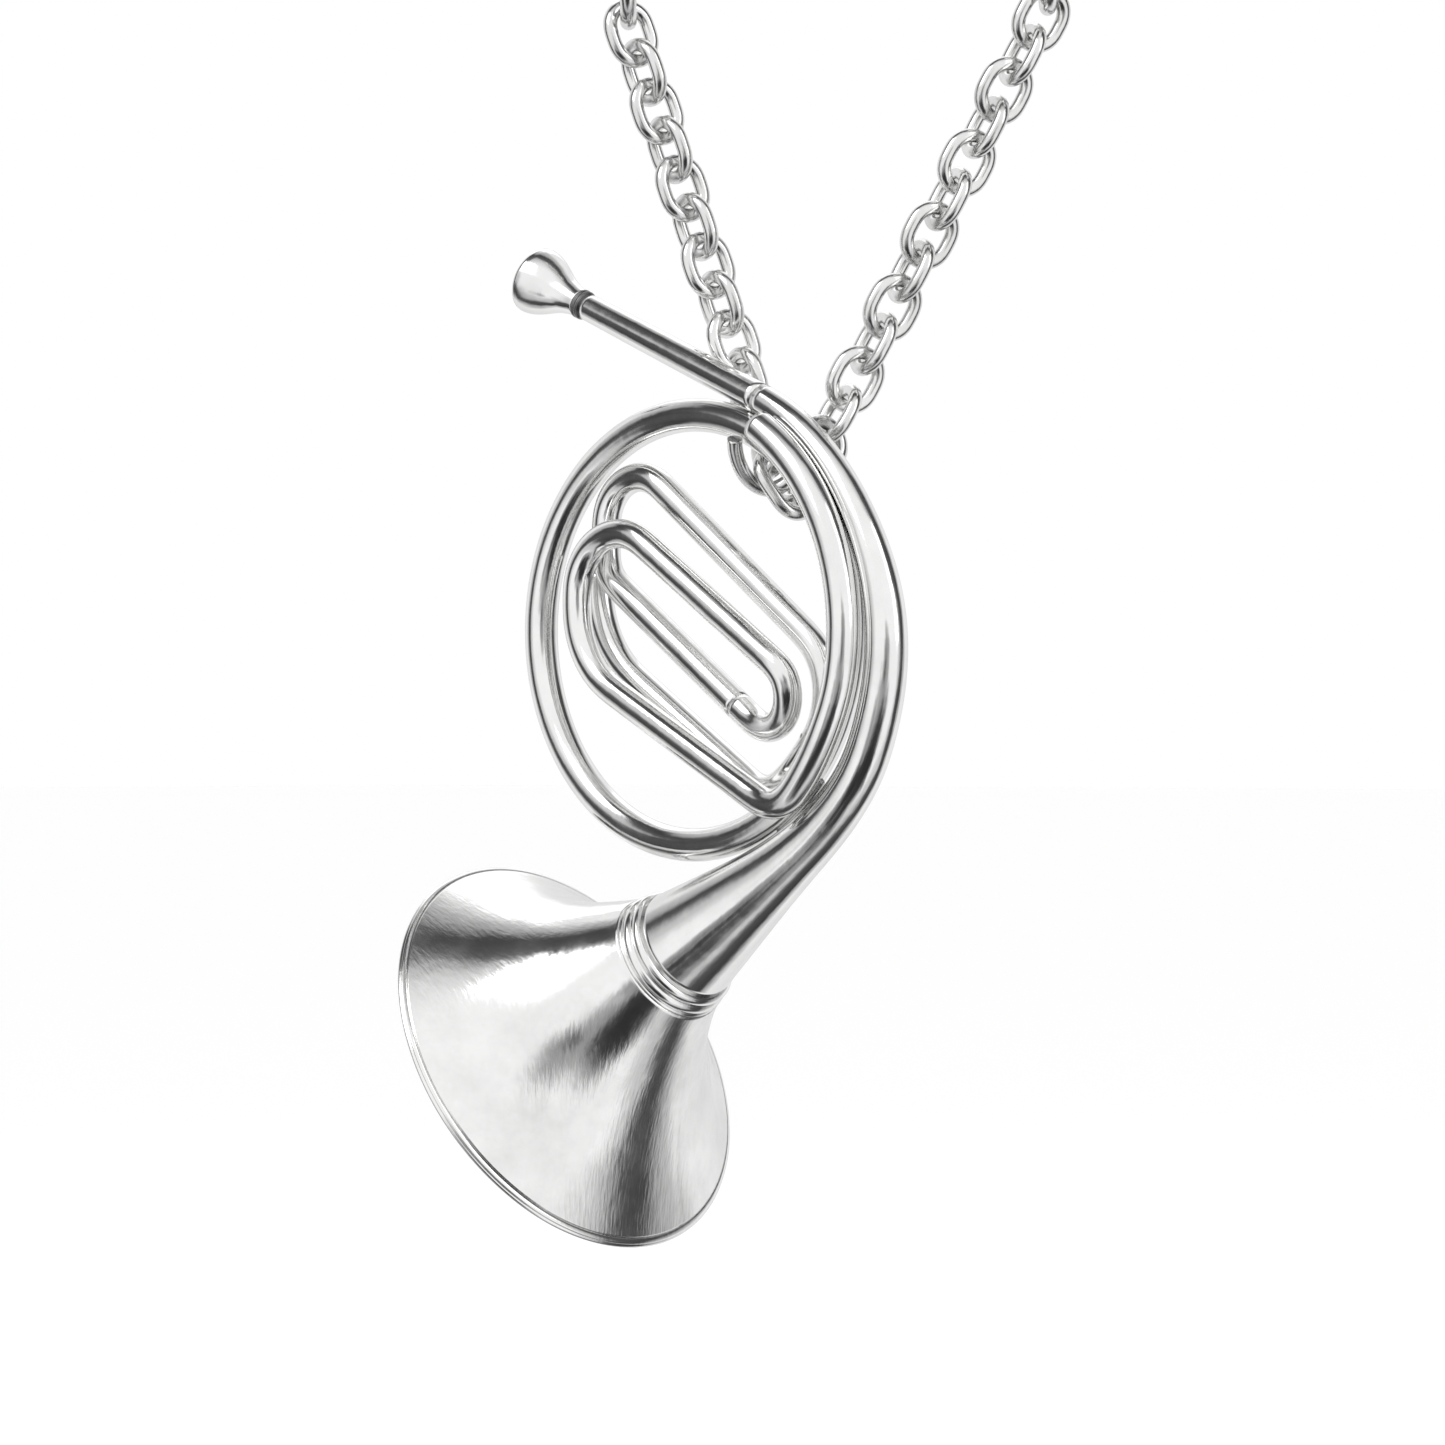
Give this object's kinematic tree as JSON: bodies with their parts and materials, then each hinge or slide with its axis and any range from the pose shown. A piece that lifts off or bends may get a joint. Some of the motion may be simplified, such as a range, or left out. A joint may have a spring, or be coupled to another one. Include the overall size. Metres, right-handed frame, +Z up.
{
  "type": "french horn pendant",
  "caption": "Small polished silver french horn charm with wound crooks, flared bell and mouthpiece, hung by a split jump ring on two strands of an oval-link chain.",
  "frame": {"origin": "centre of the left chain strand's end ring, which holds the part up", "axes": "+Z up, the horn's loop lies in the XZ plane, its front face looks towards -Y and +X is its right-hand side"},
  "size_m": [0.0342, 0.0314, 0.0797],
  "materials": {
    "horn_silver": "polished sterling silver",
    "chain_silver": "bright silver, lightly worn",
    "worn_silver": "silver with a darkened groove"
  },
  "bodies": {
    "end_rings": {"left_end_ring": "chain_silver", "right_end_ring": "chain_silver"},
    "centre_link": {"centre_link": "chain_silver"},
    "left_link_01": {"left_link_01": "chain_silver"},
    "left_link_02": {"left_link_02": "chain_silver"},
    "left_link_03": {"left_link_03": "chain_silver"},
    "left_link_04": {"left_link_04": "chain_silver"},
    "left_link_05": {"left_link_05": "chain_silver"},
    "left_link_06": {"left_link_06": "chain_silver"},
    "left_link_07": {"left_link_07": "chain_silver"},
    "left_link_08": {"left_link_08": "chain_silver"},
    "left_link_09": {"left_link_09": "chain_silver"},
    "left_link_10": {"left_link_10": "chain_silver"},
    "left_link_11": {"left_link_11": "chain_silver"},
    "left_link_12": {"left_link_12": "chain_silver"},
    "right_link_01": {"right_link_01": "chain_silver"},
    "right_link_02": {"right_link_02": "chain_silver"},
    "right_link_03": {"right_link_03": "chain_silver"},
    "right_link_04": {"right_link_04": "chain_silver"},
    "right_link_05": {"right_link_05": "chain_silver"},
    "right_link_06": {"right_link_06": "chain_silver"},
    "right_link_07": {"right_link_07": "chain_silver"},
    "right_link_08": {"right_link_08": "chain_silver"},
    "right_link_09": {"right_link_09": "chain_silver"},
    "right_link_10": {"right_link_10": "chain_silver"},
    "right_link_11": {"right_link_11": "chain_silver"},
    "right_link_12": {"right_link_12": "chain_silver"},
    "right_link_13": {"right_link_13": "chain_silver"},
    "right_link_14": {"right_link_14": "chain_silver"},
    "jump_ring": {"jump_ring": "chain_silver"},
    "horn": {"mouthpiece": "horn_silver", "mouthpiece_collar": "worn_silver", "leadpipe": "horn_silver", "bell_tail": "horn_silver", "throat_ferrule": "horn_silver", "bell_flare": "horn_silver", "bell_rim_bead": "horn_silver", "main_loop": "horn_silver", "crook_front": "horn_silver", "crook_middle": "horn_silver", "crook_rear": "horn_silver"}
  },
  "joints": [
    {"name": "chain_swing", "type": "hinge", "parent": "end_rings", "child": "centre_link", "pos_m": [0.00891, 0.00894, 0.00045], "axis": [0.7057, 0.7076, 0.0355], "range_deg": [-35, 35]},
    {"name": "ring_tilt", "type": "hinge", "parent": "centre_link", "child": "jump_ring", "pos_m": [0.00969, 0.00313, -0.03036], "axis": [0.7124, 0.5771, 0.3993], "range_deg": [0, 30]},
    {"name": "horn_rock", "type": "hinge", "parent": "jump_ring", "child": "horn", "pos_m": [0.01123, 0.00081, -0.02675], "axis": [0.866, 0, -0.5], "range_deg": [-4, 4]},
    {"name": "twist_left_link_01", "type": "hinge", "parent": "centre_link", "child": "left_link_01", "pos_m": [0.00838, 0.0037, -0.02789], "axis": [-0.572, 0.3357, 0.7484], "range_deg": [-15, 15]},
    {"name": "twist_left_link_02", "type": "hinge", "parent": "centre_link", "child": "left_link_02", "pos_m": [0.00694, 0.00427, -0.02601], "axis": [-0.6022, 0.1274, 0.7882], "range_deg": [-15, 15]},
    {"name": "twist_left_link_03", "type": "hinge", "parent": "centre_link", "child": "left_link_03", "pos_m": [0.00578, 0.00434, -0.0239], "axis": [-0.3494, -0.0636, 0.9348], "range_deg": [-15, 15]},
    {"name": "twist_left_link_04", "type": "hinge", "parent": "centre_link", "child": "left_link_04", "pos_m": [0.00504, 0.00402, -0.02159], "axis": [-0.248, -0.1978, 0.9484], "range_deg": [-15, 15]},
    {"name": "twist_left_link_05", "type": "hinge", "parent": "centre_link", "child": "left_link_05", "pos_m": [0.00444, 0.00354, -0.01927], "axis": [-0.248, -0.1978, 0.9484], "range_deg": [-15, 15]},
    {"name": "twist_left_link_06", "type": "hinge", "parent": "centre_link", "child": "left_link_06", "pos_m": [0.00383, 0.00305, -0.01694], "axis": [-0.248, -0.1978, 0.9484], "range_deg": [-15, 15]},
    {"name": "twist_left_link_07", "type": "hinge", "parent": "centre_link", "child": "left_link_07", "pos_m": [0.00322, 0.00257, -0.01462], "axis": [-0.248, -0.1978, 0.9484], "range_deg": [-15, 15]},
    {"name": "twist_left_link_08", "type": "hinge", "parent": "centre_link", "child": "left_link_08", "pos_m": [0.00261, 0.00209, -0.0123], "axis": [-0.248, -0.1978, 0.9484], "range_deg": [-15, 15]},
    {"name": "twist_left_link_09", "type": "hinge", "parent": "centre_link", "child": "left_link_09", "pos_m": [0.00201, 0.0016, -0.00997], "axis": [-0.248, -0.1978, 0.9484], "range_deg": [-15, 15]},
    {"name": "twist_left_link_10", "type": "hinge", "parent": "centre_link", "child": "left_link_10", "pos_m": [0.0014, 0.00112, -0.00765], "axis": [-0.248, -0.1978, 0.9484], "range_deg": [-15, 15]},
    {"name": "twist_left_link_11", "type": "hinge", "parent": "centre_link", "child": "left_link_11", "pos_m": [0.00079, 0.00063, -0.00532], "axis": [-0.248, -0.1978, 0.9484], "range_deg": [-15, 15]},
    {"name": "twist_left_link_12", "type": "hinge", "parent": "centre_link", "child": "left_link_12", "pos_m": [0.00018, 0.00015, -0.003], "axis": [-0.248, -0.1978, 0.9484], "range_deg": [-15, 0]},
    {"name": "twist_right_link_01", "type": "hinge", "parent": "centre_link", "child": "right_link_01", "pos_m": [0.01012, 0.00494, -0.02982], "axis": [-0.0323, 0.6405, 0.7672], "range_deg": [-15, 15]},
    {"name": "twist_right_link_02", "type": "hinge", "parent": "centre_link", "child": "right_link_02", "pos_m": [0.00992, 0.0065, -0.02794], "axis": [-0.1275, 0.6283, 0.7675], "range_deg": [-15, 15]},
    {"name": "twist_right_link_03", "type": "hinge", "parent": "centre_link", "child": "right_link_03", "pos_m": [0.00991, 0.0079, -0.02595], "axis": [0.1162, 0.5127, 0.8507], "range_deg": [-15, 15]},
    {"name": "twist_right_link_04", "type": "hinge", "parent": "centre_link", "child": "right_link_04", "pos_m": [0.01041, 0.00896, -0.02382], "axis": [0.2937, 0.3531, 0.8883], "range_deg": [-15, 15]},
    {"name": "twist_right_link_05", "type": "hinge", "parent": "centre_link", "child": "right_link_05", "pos_m": [0.01113, 0.00982, -0.02165], "axis": [0.2937, 0.3531, 0.8883], "range_deg": [-15, 15]},
    {"name": "twist_right_link_06", "type": "hinge", "parent": "centre_link", "child": "right_link_06", "pos_m": [0.01185, 0.01069, -0.01947], "axis": [0.2937, 0.3531, 0.8883], "range_deg": [-15, 15]},
    {"name": "twist_right_link_07", "type": "hinge", "parent": "centre_link", "child": "right_link_07", "pos_m": [0.01257, 0.01155, -0.01729], "axis": [0.2937, 0.3531, 0.8883], "range_deg": [-15, 15]},
    {"name": "twist_right_link_08", "type": "hinge", "parent": "centre_link", "child": "right_link_08", "pos_m": [0.01329, 0.01242, -0.01512], "axis": [0.2937, 0.3531, 0.8883], "range_deg": [-15, 15]},
    {"name": "twist_right_link_09", "type": "hinge", "parent": "centre_link", "child": "right_link_09", "pos_m": [0.01401, 0.01328, -0.01294], "axis": [0.2937, 0.3531, 0.8883], "range_deg": [-15, 15]},
    {"name": "twist_right_link_10", "type": "hinge", "parent": "centre_link", "child": "right_link_10", "pos_m": [0.01473, 0.01415, -0.01077], "axis": [0.2937, 0.3531, 0.8883], "range_deg": [-15, 15]},
    {"name": "twist_right_link_11", "type": "hinge", "parent": "centre_link", "child": "right_link_11", "pos_m": [0.01545, 0.01501, -0.00859], "axis": [0.2937, 0.3531, 0.8883], "range_deg": [-15, 15]},
    {"name": "twist_right_link_12", "type": "hinge", "parent": "centre_link", "child": "right_link_12", "pos_m": [0.01617, 0.01588, -0.00641], "axis": [0.2937, 0.3531, 0.8883], "range_deg": [-15, 15]},
    {"name": "twist_right_link_13", "type": "hinge", "parent": "centre_link", "child": "right_link_13", "pos_m": [0.01689, 0.01674, -0.00424], "axis": [0.2937, 0.3531, 0.8883], "range_deg": [-15, 15]},
    {"name": "twist_right_link_14", "type": "hinge", "parent": "centre_link", "child": "right_link_14", "pos_m": [0.01761, 0.01761, -0.00206], "axis": [0.2937, 0.3531, 0.8883], "range_deg": [-15, 15]}
  ]
}
